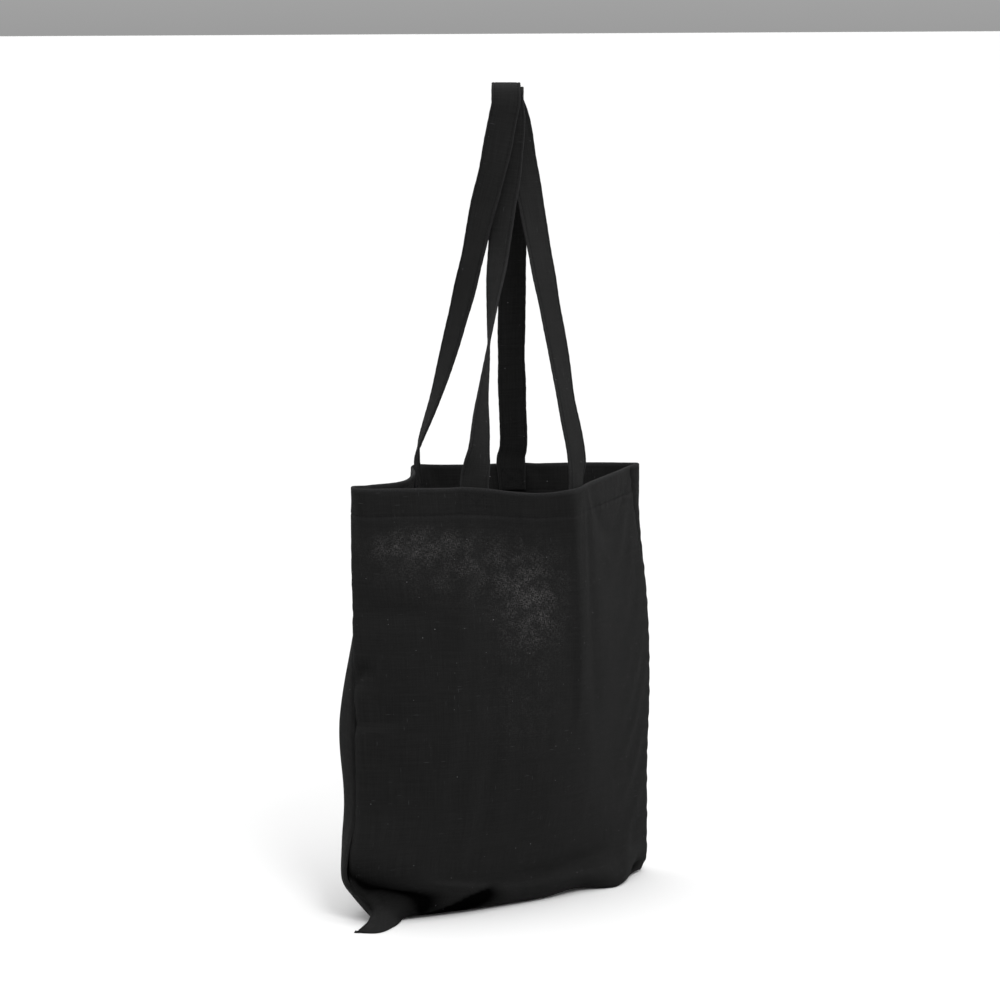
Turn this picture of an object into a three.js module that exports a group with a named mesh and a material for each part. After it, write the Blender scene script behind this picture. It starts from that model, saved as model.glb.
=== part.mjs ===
// Canvas tote bag, standing open, with its two long handles drawn up together.
// Millimetres, +Z up, front towards -Y. Each piece of cloth and each row of thread is its own mesh.
import * as THREE from "three";

// Driving dimensions.
const CUT_WIDTH = 380; // one panel, seam to seam
const CUT_HEIGHT = 420; // one panel, rim to bottom seam
const CLOTH = 1.6; // a wall, with the fullness of its weave
const GAP = 0.5; // clear space between pieces that touch
const HEM_DEPTH = 26;
const STRAP_WIDTH = 26;
const STRAP_THICKNESS = 2.4;
const STRAP_OFFSET = 51; // each strap end, out from the middle of its panel
const STRAP_LIFT = 7; // the free strap starts this far above the rim
const ALLOWANCE_WIDTH = 9; // the seam allowances inside
const THREAD = 0.8;
const THREAD_HEIGHT = 0.6;
const OVERLOCK_WIDTH = 3; // the thread wound over the raw edges of an allowance
const CROSS_SIZE = [20, 18]; // the boxed cross that holds a strap end
const EDGE_STITCH_INSET = 3; // from a strap's edge to its stitching
const STITCH_GAP = 0.6; // wider than GAP, because a strap twists under its stitching
const FRONT_LOOP_RADIUS = 11.5; // the front handle's bend at the top, at the middle of the strap
const BACK_LOOP_RADIUS = 15.5; // the back handle passes over the front one
const ACROSS_HEADING = -35; // degrees; the direction across the bend that the handles hang on
const STEPS_PER_STRETCH = 5; // along a strap, between two points of its route
const CROSS_LIFT = 1.6; // clear of the ridge where the rim turns under a cross
const CORNER_STATIONS = [5, 10, 20, 360, 370, 375]; // where the rim turns sharply
const LOOP_TOP = new THREE.Vector3(6, -4, 748);

const BLACK_CANVAS = { color: 0x1c1c1d, roughness: 0.95, metalness: 0 };
const BLACK_THREAD = { color: 0x111112, roughness: 0.7, metalness: 0 };

// How far down the cloth each row of the shapes below lies.
const ROW_DROPS = [0, 50, 130, 210, 290, 354, 384, 398, CUT_HEIGHT];

// The front panel's shape: rows from the rim down, columns from the left seam to the right seam,
// each point [x, y, z]. The bag opens to a lozenge whose front corner is the seventh column.
const FRONT_ROWS = [
  [[-138, 12, 390], [-154, 9, 391], [-155, -5, 391], [-115, -26, 390], [-66, -50, 389],
    [-14, -81, 384], [19, -94, 386], [50, -77, 389], [92, -50, 390], [140, -16, 390]],
  [[-143, 12, 340], [-156, 7, 340], [-154, -8, 340], [-115, -31, 340], [-64, -54, 340],
    [-10, -80, 338], [20, -88, 338], [50, -77, 339], [94, -48, 340], [150, -14, 340]],
  [[-153, 8, 260], [-159, -2, 260], [-149, -18, 260], [-112, -40, 260], [-62, -60, 260],
    [-10, -77, 260], [21, -80, 260], [53, -73, 260], [104, -47, 260], [165, -13, 260]],
  [[-157, 2, 180], [-160, -8, 180], [-150, -22, 180], [-112, -46, 180], [-62, -64, 180],
    [-10, -74, 180], [22, -75, 180], [56, -68, 180], [108, -45, 180], [170, -11, 180]],
  [[-159, -3, 100], [-162, -12, 100], [-150, -26, 100], [-112, -46, 100], [-62, -60, 100],
    [-8, -66, 100], [24, -66, 100], [58, -60, 100], [108, -40, 100], [169, -9, 100]],
  [[-178, -14, 40], [-172, -27, 38], [-154, -38, 40], [-114, -50, 42], [-62, -54, 38],
    [-8, -55, 36], [24, -54, 36], [58, -50, 36], [104, -41, 36], [168, -11, 36]],
  [[-160, -30, 14], [-158, -32, 13], [-147, -29, 17], [-112, -40, 16], [-64, -50, 10],
    [-8, -51, 8], [24, -50, 8], [62, -45, 8], [98, -47, 8], [168, -10, 14]],
  [[-171, -37, 7], [-162, -44, 7], [-147, -37, 9], [-112, -33, 3], [-64, -40, 0],
    [-8, -40, 0], [24, -40, 0], [64, -34, 2], [98, -44, 0], [164, -9, 5]],
  [[-184, -44, 0], [-168, -57, 0], [-144, -46, 0], [-112, -16, 0], [-58, -14, 0],
    [-6, -12, 0], [26, -12, 0], [64, -12, 0], [104, -18, 0], [158, -9, 1]],
];

// The back panel's shape, on the same rows. It shares its first and last columns with the front.
const BACK_ROWS = [
  [[-98, 14, 391], [-60, 52, 391], [-26, 98, 391], [10, 89, 390], [52, 64, 390],
    [106, 32, 391], [150, 4, 391], [156, -8, 391]],
  [[-112, 24, 340], [-66, 62, 340], [-24, 92, 340], [12, 86, 340], [55, 62, 340],
    [107, 34, 340], [154, 8, 340], [160, -3, 340]],
  [[-135, 34, 260], [-98, 64, 260], [-50, 84, 260], [6, 84, 260], [56, 67, 260],
    [110, 41, 260], [158, 13, 260], [168, 1, 260]],
  [[-156, 33, 180], [-104, 68, 180], [-50, 82, 180], [6, 82, 180], [58, 69, 180],
    [112, 46, 180], [159, 20, 180], [172, 5, 180]],
  [[-155, 30, 100], [-106, 60, 100], [-52, 70, 100], [6, 70, 100], [58, 61, 100],
    [112, 43, 100], [157, 20, 100], [172, 5, 100]],
  [[-163, 12, 36], [-110, 42, 36], [-52, 50, 36], [6, 50, 36], [58, 47, 36], [110, 35, 36],
    [152, 19, 36], [170, 4, 36]],
  [[-152, -6, 8], [-106, 28, 8], [-52, 40, 8], [6, 40, 8], [58, 38, 8], [108, 28, 8],
    [150, 15, 8], [166, 5, 10]],
  [[-151, -31, 0], [-104, 10, 0], [-52, 24, 0], [6, 24, 0], [58, 22, 0], [108, 14, 0],
    [144, 4, 0], [158, -4, 2]],
  FRONT_ROWS.at(-1).slice(1, -1),
].map((row, i) => [FRONT_ROWS[i][0], ...row, FRONT_ROWS[i].at(-1)]);

// The four legs of the handles, from the bend down to just above the rim. Each point is
// [across, depth, drop, turn]: across and depth from the middle of the bend, drop below its top,
// and turn, in degrees, of the strap's width about the vertical.
const BACK_LEFT_LEG = [
  [-3, -15, 32, -3], [-11, -12, 73, -15], [-22, -6, 117, -30], [-30, 1, 155, -42],
  [-41, 16, 201, -47], [-53, 30, 247, -57], [-66, 43, 292, -71], [-80, 54, 333, -85],
];
const BACK_RIGHT_LEG = [
  [1, 17, 32, 0], [3, 24, 74, 8], [5, 34, 117, 12], [6, 43, 160, 14],
  [5, 59, 249, 14], [6, 68, 295, 10], [7, 76, 340, 5],
];
const FRONT_LEFT_LEG = [
  [4, -11, 32, 175], [2, -9, 73, 165], [-3, -10, 114, 150], [-7, -16, 154, 135],
  [-12, -32, 197, 110], [-16, -46, 239, 86], [-21, -59, 281, 68], [-24, -72, 322, 46],
];
const FRONT_RIGHT_LEG = [
  [8, 11, 32, 185], [16, 5, 73, 197], [22, -3, 106, 207], [31, -15, 155, 217],
  [39, -26, 198, 224], [47, -35, 240, 228], [54, -44, 283, 234], [63, -53, 330, 232],
];

const bag = new THREE.Group();
const frontHandle = new THREE.Group();
const backHandle = new THREE.Group();
bag.add(frontHandle, backHandle);

function addPiece(group, name, geometry, finish) {
  const mesh = new THREE.Mesh(geometry, new THREE.MeshStandardMaterial(finish));
  mesh.name = name;
  group.add(mesh);
}

// A closed solid from its corners and its triangles, which are all turned outwards together when
// the volume that they enclose comes out negative.
function solidOfFaces(vertices, faces) {
  let volume = 0;
  for (const [a, b, c] of faces) {
    volume += vertices[a].dot(new THREE.Vector3().crossVectors(vertices[b], vertices[c]));
  }
  const ordered = volume < 0 ? faces.map(([a, b, c]) => [a, c, b]) : faces;
  const geometry = new THREE.BufferGeometry().setFromPoints(vertices);
  geometry.setIndex(ordered.flat());
  geometry.computeVertexNormals();
  return geometry;
}

// ---- the bag's surface ----

// One panel as a grid of points and outward normals, at stations in flat-cut millimetres:
// u across from the left seam, v down from the rim.
class PanelGrid {
  constructor(rows, outward) {
    this.uStations = stations(CUT_WIDTH, 26, CORNER_STATIONS);
    this.vStations = stations(CUT_HEIGHT, 16, [13, HEM_DEPTH, 382, 388, 400]);
    this.points = this.vStations.map((v) => this.rowAt(rows, v));
    this.normals = this.points.map((row, i) => row.map((_, j) => this.normalAt(i, j, outward)));
  }

  rowAt(rows, v) {
    const columns = rows[0].map((_, j) => new THREE.CatmullRomCurve3(
      rows.map((row) => new THREE.Vector3(...row[j]))));
    const [row, share] = cellOf(ROW_DROPS, v);
    const across = new THREE.CatmullRomCurve3(
      columns.map((column) => column.getPoint((row + share) / (rows.length - 1))));
    return this.uStations.map((u) => {
      const point = across.getPointAt(u / CUT_WIDTH);
      point.z = Math.max(point.z, 0);
      return point;
    });
  }

  normalAt(i, j, outward) {
    const { points } = this;
    const down = points[Math.min(i + 1, points.length - 1)][j].clone()
      .sub(points[Math.max(i - 1, 0)][j]);
    const right = points[i][Math.min(j + 1, points[i].length - 1)].clone()
      .sub(points[i][Math.max(j - 1, 0)]);
    return down.cross(right).normalize().multiplyScalar(outward);
  }

  // The point at (u, v), moved out from the panel's face by offset.
  at(u, v, offset) {
    const [i, s] = cellOf(this.vStations, v);
    const [j, t] = cellOf(this.uStations, u);
    const mix = (grid) => grid[i][j].clone().lerp(grid[i][j + 1], t)
      .lerp(grid[i + 1][j].clone().lerp(grid[i + 1][j + 1], t), s);
    const point = mix(this.points).addScaledVector(mix(this.normals).normalize(), offset);
    point.z = Math.max(point.z, 0);
    return point;
  }
}

// Even steps over a length, with a few extra places where pieces start and end.
function stations(length, steps, extra) {
  const even = Array.from({ length: steps + 1 }, (_, i) => (length * i) / steps);
  return [...even, ...extra].sort((a, b) => a - b)
    .filter((x, i, all) => i === 0 || x - all[i - 1] > 1);
}

function cellOf(places, x) {
  let i = 0;
  while (i < places.length - 2 && places[i + 1] <= x) {
    i += 1;
  }
  return [i, (x - places[i]) / (places[i + 1] - places[i])];
}

function within(places, low, high) {
  return [low, ...places.filter((x) => x > low + 0.5 && x < high - 0.5), high];
}

// A layer of the bag: the part of a panel between uRange and vRange, from offset low to high.
function layer(grid, uRange, vRange, low, high) {
  const us = within(grid.uStations, ...uRange);
  const vs = within(grid.vStations, ...vRange);
  const vertices = [];
  for (const offset of [low, high]) {
    for (const v of vs) {
      for (const u of us) {
        vertices.push(grid.at(u, v, offset));
      }
    }
  }
  const sheetSize = us.length * vs.length;
  const index = (side, i, j) => side * sheetSize + i * us.length + j;
  const faces = [];
  const quad = (a, b, c, d) => faces.push([a, b, c], [a, c, d]);
  for (let i = 0; i + 1 < vs.length; i += 1) {
    for (let j = 0; j + 1 < us.length; j += 1) {
      quad(index(1, i, j), index(1, i + 1, j), index(1, i + 1, j + 1), index(1, i, j + 1));
      faces.push([index(0, i, j), index(0, i + 1, j + 1), index(0, i + 1, j)],
        [index(0, i, j), index(0, i, j + 1), index(0, i + 1, j + 1)]);
    }
  }
  for (let j = 0; j + 1 < us.length; j += 1) {
    const last = vs.length - 1;
    quad(index(0, 0, j), index(1, 0, j), index(1, 0, j + 1), index(0, 0, j + 1));
    quad(index(0, last, j + 1), index(1, last, j + 1), index(1, last, j), index(0, last, j));
  }
  for (let i = 0; i + 1 < vs.length; i += 1) {
    const last = us.length - 1;
    quad(index(0, i + 1, 0), index(1, i + 1, 0), index(1, i, 0), index(0, i, 0));
    quad(index(0, i, last), index(1, i, last), index(1, i + 1, last), index(0, i + 1, last));
  }
  return solidOfFaces(vertices, faces);
}

// Offsets of the layers, counted in from the outer face.
const WALL = [-CLOTH, 0];
const INNER_LAYER = [-2 * CLOTH - GAP, -CLOTH - GAP];
const STRAP_LAYER = [INNER_LAYER[0] - GAP - STRAP_THICKNESS, INNER_LAYER[0] - GAP];
const INNER_THREAD = [INNER_LAYER[0] - GAP - THREAD_HEIGHT, INNER_LAYER[0] - GAP];
const OUTER_THREAD = [GAP, GAP + THREAD_HEIGHT];
const SEAM_GAP = 0.6;

const grids = {
  front: new PanelGrid(FRONT_ROWS, 1),
  back: new PanelGrid(BACK_ROWS, -1),
};

// The two panels meet at a mitre: along a seam both have the mean of their two normals.
function mitre(i, j) {
  const mean = grids.front.normals[i][j].clone().add(grids.back.normals[i][j]).normalize();
  grids.front.normals[i][j] = mean;
  grids.back.normals[i][j] = mean;
}

const lastRow = grids.front.points.length - 1;
const lastColumn = grids.front.points[0].length - 1;
for (let i = 0; i <= lastRow; i += 1) {
  mitre(i, 0);
  mitre(i, lastColumn);
}
for (let j = 1; j < lastColumn; j += 1) {
  mitre(lastRow, j);
}

function strapPlaces(side) {
  const middle = CUT_WIDTH / 2;
  return {
    [`${side}_left`]: middle - STRAP_OFFSET,
    [`${side}_right`]: middle + STRAP_OFFSET,
  };
}

// The boxed cross: a square frame of thread with both diagonals, laid on the panel's face.
function boxedCross(grid, uMiddle) {
  const [width, height] = CROSS_SIZE;
  const inner = [width / 2 - THREAD, height / 2 - THREAD];
  const steps = 6;
  const edge = (from, to) => Array.from({ length: steps }, (_, i) => new THREE.Vector2(
    from[0] + ((to[0] - from[0]) * i) / steps,
    from[1] + ((to[1] - from[1]) * i) / steps,
  ));
  const outline = (corners) => corners.flatMap((corner, i) => edge(
    corner, corners[(i + 1) % corners.length]));
  const shape = new THREE.Shape(outline([
    [-width / 2, -height / 2], [width / 2, -height / 2],
    [width / 2, height / 2], [-width / 2, height / 2],
  ]));
  const [x, y] = inner;
  shape.holes = [
    [[-x + THREAD, -y], [x - THREAD, -y], [0, -THREAD]],
    [[x, -y + THREAD], [x, y - THREAD], [THREAD, 0]],
    [[x - THREAD, y], [-x + THREAD, y], [0, THREAD]],
    [[-x, y - THREAD], [-x, -y + THREAD], [-THREAD, 0]],
  ].map((corners) => new THREE.Path(outline(corners).reverse()));
  const geometry = new THREE.ExtrudeGeometry(shape, {
    depth: THREAD_HEIGHT, bevelEnabled: false,
  });
  const places = geometry.getAttribute("position");
  for (let i = 0; i < places.count; i += 1) {
    const point = grid.at(
      uMiddle + places.getX(i), HEM_DEPTH / 2 - 2 - places.getY(i), CROSS_LIFT + places.getZ(i));
    places.setXYZ(i, point.x, point.y, point.z);
  }
  return geometry;
}

// A shape laid on the back panel comes out inside out, so it is rebuilt with its faces outwards.
function turnedOutwards(geometry) {
  const places = geometry.getAttribute("position");
  const vertices = Array.from({ length: places.count }, (_, i) => new THREE.Vector3()
    .fromBufferAttribute(places, i));
  const faces = Array.from({ length: places.count / 3 }, (_, i) => [3 * i, 3 * i + 1, 3 * i + 2]);
  return solidOfFaces(vertices, faces);
}

function addPanel(side) {
  const grid = grids[side];
  const seamToSeam = [SEAM_GAP, CUT_WIDTH - SEAM_GAP];
  const hemRow = HEM_DEPTH - 2;
  addPiece(bag, `${side}_panel`,
    layer(grid, seamToSeam, [0, CUT_HEIGHT - SEAM_GAP], ...WALL), BLACK_CANVAS);
  addPiece(bag, `${side}_hem`,
    layer(grid, [2, CUT_WIDTH - 2], [0, HEM_DEPTH], ...INNER_LAYER), BLACK_CANVAS);
  addPiece(bag, `${side}_hem_stitching`,
    layer(grid, [2, CUT_WIDTH - 2], [hemRow, hemRow + THREAD], ...OUTER_THREAD), BLACK_THREAD);
  for (const [place, u] of Object.entries(strapPlaces(side))) {
    addPiece(bag, `${place}_strap_end`,
      layer(grid, [u - STRAP_WIDTH / 2, u + STRAP_WIDTH / 2], [0, HEM_DEPTH], ...STRAP_LAYER),
      BLACK_CANVAS);
    addPiece(bag, `${place}_boxed_cross`, turnedOutwards(boxedCross(grid, u)), BLACK_THREAD);
  }
}

// The seam allowances lie inside, pressed towards the back, with their overlocked edge on top.
function addSeamAllowances() {
  const grid = grids.back;
  const top = HEM_DEPTH + 2;
  const sideEnd = CUT_HEIGHT - 60;
  const strips = {
    left: [[2, ALLOWANCE_WIDTH], [top, sideEnd]],
    right: [[CUT_WIDTH - ALLOWANCE_WIDTH, CUT_WIDTH - 2], [top, sideEnd]],
    bottom: [[66, CUT_WIDTH - 20], [CUT_HEIGHT - ALLOWANCE_WIDTH, CUT_HEIGHT - 1]],
  };
  const rows = {
    left: [[5, 5 + OVERLOCK_WIDTH], [top + 2, sideEnd - 2]],
    right: [[CUT_WIDTH - 5 - OVERLOCK_WIDTH, CUT_WIDTH - 5], [top + 2, sideEnd - 2]],
    bottom: [[68, CUT_WIDTH - 22], [CUT_HEIGHT - 3 - OVERLOCK_WIDTH, CUT_HEIGHT - 3]],
  };
  for (const name of Object.keys(strips)) {
    addPiece(bag, `${name}_seam_allowance`, layer(grid, ...strips[name], ...INNER_LAYER),
      BLACK_CANVAS);
    addPiece(bag, `${name}_seam_overlock`, layer(grid, ...rows[name], ...INNER_THREAD),
      BLACK_THREAD);
  }
}

// ---- the handles ----

const acrossAngle = THREE.MathUtils.degToRad(ACROSS_HEADING);
const across = new THREE.Vector3(Math.cos(acrossAngle), Math.sin(acrossAngle), 0);
const deep = new THREE.Vector3(-across.y, across.x, 0);
const up = new THREE.Vector3(0, 0, 1);

function hangingPoint([a, d, drop, turn]) {
  const place = LOOP_TOP.clone().addScaledVector(across, a).addScaledVector(deep, d)
    .addScaledVector(up, -drop);
  return { place, turn };
}

// The bend over the top: half a circle from the near side to the far side.
function bend(radius, shift, turn) {
  const drop = radius + STRAP_THICKNESS / 2;
  return [0, 45, 90, 135, 180].map((degrees) => {
    const angle = THREE.MathUtils.degToRad(degrees);
    return hangingPoint([
      shift, -radius * Math.cos(angle),
      drop - radius * Math.sin(angle) + BACK_LOOP_RADIUS - radius, turn,
    ]);
  });
}

// Where a free strap starts: over its sewn end, a little above the rim, in line with the hem.
function strapRoot(side, u, turnNear) {
  const grid = grids[side];
  const middle = (STRAP_LAYER[0] + STRAP_LAYER[1]) / 2;
  const place = grid.at(u, 0, middle).addScaledVector(up, STRAP_LIFT);
  const along = grid.at(u + 5, 0, middle).sub(grid.at(u - 5, 0, middle));
  const heading = THREE.MathUtils.radToDeg(Math.atan2(along.y, along.x)) - ACROSS_HEADING;
  const turn = heading + 180 * Math.round((turnNear - heading) / 180);
  return { place, turn };
}

// The strap from root to root, as stations of place, width direction and face direction.
function strapStations(side, leftLeg, rightLeg, radius, shift, topTurn) {
  const places = strapPlaces(side);
  const route = [
    strapRoot(side, places[`${side}_left`], leftLeg.at(-1)[3]),
    ...leftLeg.map(hangingPoint).reverse(),
    ...bend(radius, shift, topTurn),
    ...rightLeg.map(hangingPoint),
    strapRoot(side, places[`${side}_right`], rightLeg.at(-1)[3]),
  ];
  const line = new THREE.CatmullRomCurve3(route.map((stop) => stop.place));
  const turning = new THREE.CatmullRomCurve3(
    route.map((stop) => new THREE.Vector3(stop.turn, 0, 0)), false, "catmullrom");
  const count = STEPS_PER_STRETCH * (route.length - 1);
  return Array.from({ length: count + 1 }, (_, i) => {
    const tangent = line.getTangent(i / count);
    const turn = THREE.MathUtils.degToRad(turning.getPoint(i / count).x);
    const width = across.clone().applyAxisAngle(up, turn);
    width.addScaledVector(tangent, -width.dot(tangent)).normalize();
    const face = new THREE.Vector3().crossVectors(width, tangent);
    return { place: line.getPoint(i / count), width, face };
  });
}

// A strip that follows the strap, between two places across its width and two heights over it.
function strip(stops, [left, right], [low, high]) {
  const vertices = stops.flatMap(({ place, width, face }) => [
    [left, low], [right, low], [right, high], [left, high],
  ].map(([w, h]) => place.clone().addScaledVector(width, w).addScaledVector(face, h)));
  const faces = [[0, 1, 2], [0, 2, 3]];
  for (let i = 0; i + 1 < stops.length; i += 1) {
    for (let k = 0; k < 4; k += 1) {
      const a = 4 * i + k;
      const b = 4 * i + ((k + 1) % 4);
      faces.push([a, a + 4, b + 4], [a, b + 4, b]);
    }
  }
  const end = 4 * (stops.length - 1);
  faces.push([end, end + 2, end + 1], [end, end + 3, end + 2]);
  return solidOfFaces(vertices, faces);
}

// outerFace is the side of the strap that looks out over the bend: +1 or -1.
function addHandle(group, name, stops, outerFace) {
  const half = STRAP_WIDTH / 2;
  const thick = STRAP_THICKNESS / 2;
  addPiece(group, name, strip(stops, [-half, half], [-thick, thick]), BLACK_CANVAS);
  const heights = [thick + STITCH_GAP, thick + STITCH_GAP + THREAD_HEIGHT].map((h) => h * outerFace);
  const inset = half - EDGE_STITCH_INSET;
  const sewn = stops.slice(1, -1);
  for (const [edge, middle] of [["left", -inset], ["right", inset]]) {
    addPiece(group, `${name}_${edge}_edge_stitching`,
      strip(sewn, [middle - THREAD / 2, middle + THREAD / 2], heights), BLACK_THREAD);
  }
}

addPanel("front");
addPanel("back");
addSeamAllowances();
addHandle(backHandle, "back_handle",
  strapStations("back", BACK_LEFT_LEG, BACK_RIGHT_LEG, BACK_LOOP_RADIUS, 0, 0), 1);
addHandle(frontHandle, "front_handle",
  strapStations("front", FRONT_LEFT_LEG, FRONT_RIGHT_LEG, FRONT_LOOP_RADIUS, 3, 180), -1);

// The origin is under the middle of the bag's box, on the surface that it stands on.
const box = new THREE.Box3().setFromObject(bag);
const middle = box.getCenter(new THREE.Vector3());
bag.position.set(-middle.x, -middle.y, -box.min.z);

export default bag;
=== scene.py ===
import math

import bpy
import numpy as np
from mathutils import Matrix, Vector


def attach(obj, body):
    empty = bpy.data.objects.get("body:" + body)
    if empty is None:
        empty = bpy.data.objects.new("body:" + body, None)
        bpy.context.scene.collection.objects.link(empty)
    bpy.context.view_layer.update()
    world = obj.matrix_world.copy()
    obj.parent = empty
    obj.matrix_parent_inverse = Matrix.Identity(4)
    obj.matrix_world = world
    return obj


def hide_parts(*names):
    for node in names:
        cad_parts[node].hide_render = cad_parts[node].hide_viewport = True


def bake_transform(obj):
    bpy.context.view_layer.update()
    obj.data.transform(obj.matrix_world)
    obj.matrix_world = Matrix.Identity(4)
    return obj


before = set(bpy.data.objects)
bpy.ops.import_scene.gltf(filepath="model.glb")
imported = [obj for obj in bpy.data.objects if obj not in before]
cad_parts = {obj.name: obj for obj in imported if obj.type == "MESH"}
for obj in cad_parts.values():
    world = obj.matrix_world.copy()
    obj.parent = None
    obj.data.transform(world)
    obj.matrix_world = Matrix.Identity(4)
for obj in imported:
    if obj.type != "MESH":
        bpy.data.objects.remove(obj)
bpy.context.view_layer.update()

# A black canvas tote bag that stands open, with its two long handles drawn up together.
# Shapes are worked out in millimetres, in the bag's own frame, and become metres in the row
# frame when a mesh is made. A place on a panel is (u, v): u across from the left seam and
# v down from the rim, both along the cloth.

# ---- driving dimensions, in millimetres ----

METRE = 1000.0
FRAME_SHIFT = np.array([5.309, -1.489, 0.0])  # the row frame's origin, seen from the bag's own

CUT_WIDTH = 380.0
CUT_HEIGHT = 420.0
CLOTH = 0.9  # one ply of canvas
HEM_DEPTH = 26.0
HEM_STITCH = 23.5  # the hem's row of stitches, down from the rim
HEM_TURN = 14.0  # the raw edge folded up inside the hem
PLY_GAP = 0.15
STRAP_WIDTH = 26.0
STRAP_THICKNESS = 2.4
STRAP_OFFSET = 51.0  # each strap end, out from the middle of its panel
STRAP_LIFT = 7.0
STRAP_END = 24.0  # how far down the hem a strap is sewn
ALLOWANCE = 9.0
THREAD = 0.5
STITCH_PITCH = 3.1
STITCH_LENGTH = 2.5
SEAM_DEPTH = 3.0  # how far the side seams draw the cloth in
SIDE_SEAM_RUN = (HEM_DEPTH + 2, CUT_HEIGHT - 60)  # where the allowances can be seen, down from the rim
BASE_SEAM_RUN = (66, CUT_WIDTH - 20)  # and along the bottom, from the left
OVERLOCK_PITCH = 2.6
OVERLOCK_RADIUS = 0.22
LEAST_SHADE = 0.02

CELL = 4.0  # the grid that the cloth is shaped and settled on
SETTLE_FRAMES = 24
SETTLE_GROWTH = -0.02  # how much larger the canvas is than its form
SETTLE_STRETCH = 25.0
SETTLE_SHEAR = 12.0
SETTLE_BENDING = 2.5
HOLD_OPEN, HOLD_SEAM, HOLD_RIM = 0.04, 0.5, 0.35  # how firmly the cloth is held there, 0 to 1
SETTLE_LIMIT = 9.0  # the settling moves no point further than this
SAG_PASSES = 60
SEAM_HOLD = 44.0  # how far from a side seam the ripples reach their full height
SAG_SHARE = 0.1  # how much of the broad sag is kept: the form has it already
RIPPLE_SHARE = 0.9  # how much of the finer ripples is kept

# ---- the cloth's shape: rows from the rim down, columns from the left seam to the right ----

ROW_DROPS = [0, 50, 130, 210, 290, 354, 384, 398, CUT_HEIGHT]
FRONT_ROWS = [
    [(-138, 12, 390), (-154, 9, 391), (-155, -5, 391), (-115, -26, 390), (-66, -50, 389),
     (-14, -81, 384), (19, -94, 386), (50, -77, 389), (92, -50, 390), (140, -16, 390)],
    [(-143, 12, 340), (-156, 7, 340), (-154, -8, 340), (-115, -31, 340), (-64, -54, 340),
     (-10, -80, 338), (20, -88, 338), (50, -77, 339), (94, -48, 340), (150, -14, 340)],
    [(-153, 8, 260), (-159, -2, 260), (-149, -18, 260), (-112, -40, 260), (-62, -60, 260),
     (-10, -77, 260), (21, -80, 260), (53, -73, 260), (104, -47, 260), (165, -13, 260)],
    [(-157, 2, 180), (-160, -8, 180), (-150, -22, 180), (-112, -46, 180), (-62, -64, 180),
     (-10, -74, 180), (22, -75, 180), (56, -68, 180), (108, -45, 180), (170, -11, 180)],
    [(-159, -3, 100), (-162, -12, 100), (-150, -26, 100), (-112, -46, 100), (-62, -60, 100),
     (-8, -66, 100), (24, -66, 100), (58, -60, 100), (108, -40, 100), (169, -9, 100)],
    [(-178, -14, 40), (-172, -27, 38), (-154, -38, 40), (-114, -50, 42), (-62, -54, 38),
     (-8, -55, 36), (24, -54, 36), (58, -50, 36), (104, -41, 36), (168, -11, 36)],
    [(-160, -30, 14), (-158, -32, 13), (-147, -29, 17), (-112, -47, 21), (-64, -54, 17),
     (-8, -51, 8), (24, -50, 8), (62, -45, 8), (98, -47, 8), (168, -10, 14)],
    [(-171, -37, 7), (-162, -44, 7), (-147, -37, 9), (-112, -37, 4), (-64, -43, 3),
     (-8, -40, 0), (24, -40, 0), (64, -34, 2), (98, -44, 0), (164, -9, 5)],
    [(-187, -44, 0), (-170, -57, 0), (-144, -46, 0), (-112, -20, 0), (-58, -18, 0),
     (-6, -12, 0), (26, -12, 0), (64, -12, 0), (104, -18, 0), (158, -9, 1)],
]
# The back panel's inner points. It shares its first and last columns with the front.
BACK_ROWS = [
    [(-98, 14, 391), (-60, 52, 391), (-26, 98, 391), (10, 89, 390), (52, 64, 390),
     (106, 32, 391), (150, 4, 391), (156, -8, 391)],
    [(-112, 24, 340), (-66, 62, 340), (-24, 92, 340), (12, 86, 340), (55, 62, 340),
     (107, 34, 340), (154, 8, 340), (160, -3, 340)],
    [(-135, 34, 260), (-98, 64, 260), (-50, 84, 260), (6, 84, 260), (56, 67, 260),
     (110, 41, 260), (158, 13, 260), (168, 1, 260)],
    [(-153, 33, 180), (-104, 68, 180), (-50, 82, 180), (6, 82, 180), (58, 69, 180),
     (112, 46, 180), (159, 20, 180), (172, 5, 180)],
    [(-152, 30, 100), (-106, 60, 100), (-52, 70, 100), (6, 70, 100), (58, 61, 100),
     (112, 43, 100), (157, 20, 100), (172, 5, 100)],
    [(-163, 12, 36), (-110, 42, 36), (-52, 50, 36), (6, 50, 36), (58, 47, 36),
     (110, 35, 36), (152, 19, 36), (170, 4, 36)],
    [(-152, -6, 8), (-106, 28, 8), (-52, 40, 8), (6, 40, 8), (58, 38, 8),
     (108, 28, 8), (150, 15, 8), (166, 5, 10)],
    [(-151, -31, 0), (-104, 10, 0), (-52, 24, 0), (6, 24, 0), (58, 22, 0),
     (108, 14, 0), (144, 4, 0), (158, -4, 2)],
    FRONT_ROWS[-1][1:-1],
]

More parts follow.
